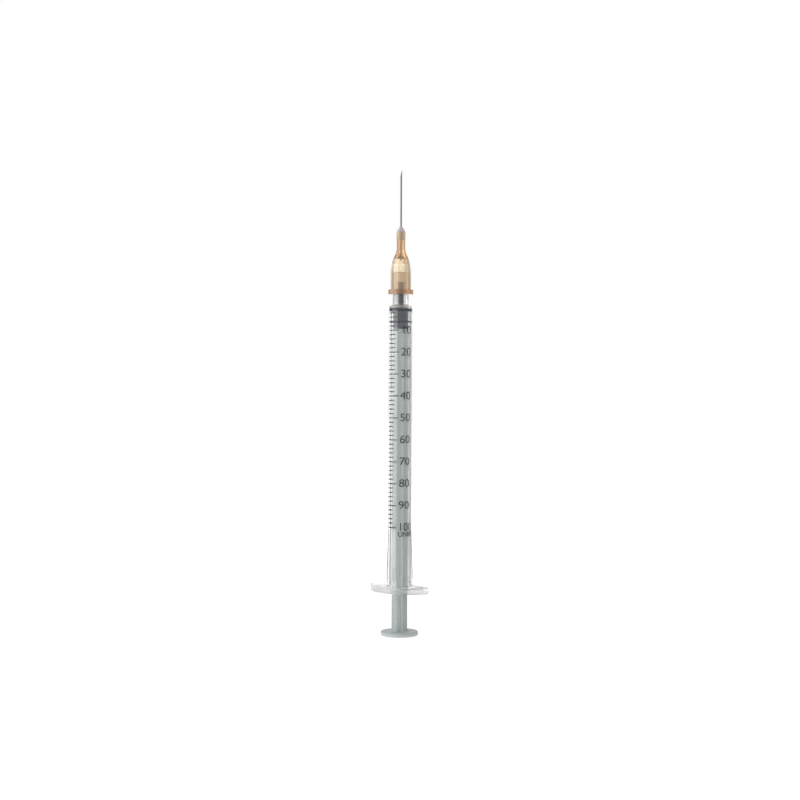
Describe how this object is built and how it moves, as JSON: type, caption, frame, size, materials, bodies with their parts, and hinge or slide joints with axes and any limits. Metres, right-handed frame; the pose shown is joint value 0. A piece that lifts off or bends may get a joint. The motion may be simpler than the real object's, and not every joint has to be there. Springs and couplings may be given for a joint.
{
  "type": "syringe",
  "caption": "Slim clear syringe with finger flange, sliding ribbed plunger with a rubber stopper, and an amber push-fit hub that carries a bevelled hypodermic needle.",
  "frame": {"origin": "centre of the thumb rest's underside, which is the foot that the syringe stands on", "axes": "+Z along the syringe's axis from the thumb rest to the needle's point, X along the long way of the finger flange, Y across it"},
  "size_m": [0.0178, 0.011, 0.1218],
  "materials": {
    "clear_plastic": "clear, smooth",
    "rod_plastic": "milky, satin",
    "stopper_rubber": "smooth, siliconed",
    "amber_plastic": "see-through, smooth",
    "needle_steel": "drawn and polished",
    "clear_resin": "hazy resin"
  },
  "bodies": {
    "barrel": {"barrel": "clear_plastic", "needle_hub": "amber_plastic", "needle": "needle_steel", "needle_glue": "clear_resin"},
    "plunger": {"plunger_rod": "rod_plastic", "stopper": "stopper_rubber"}
  },
  "joints": [
    {"name": "plunger_slide", "type": "slide", "parent": "barrel", "child": "plunger", "axis": [0, 0, -1], "range_m": [0, 0.0653]}
  ]
}
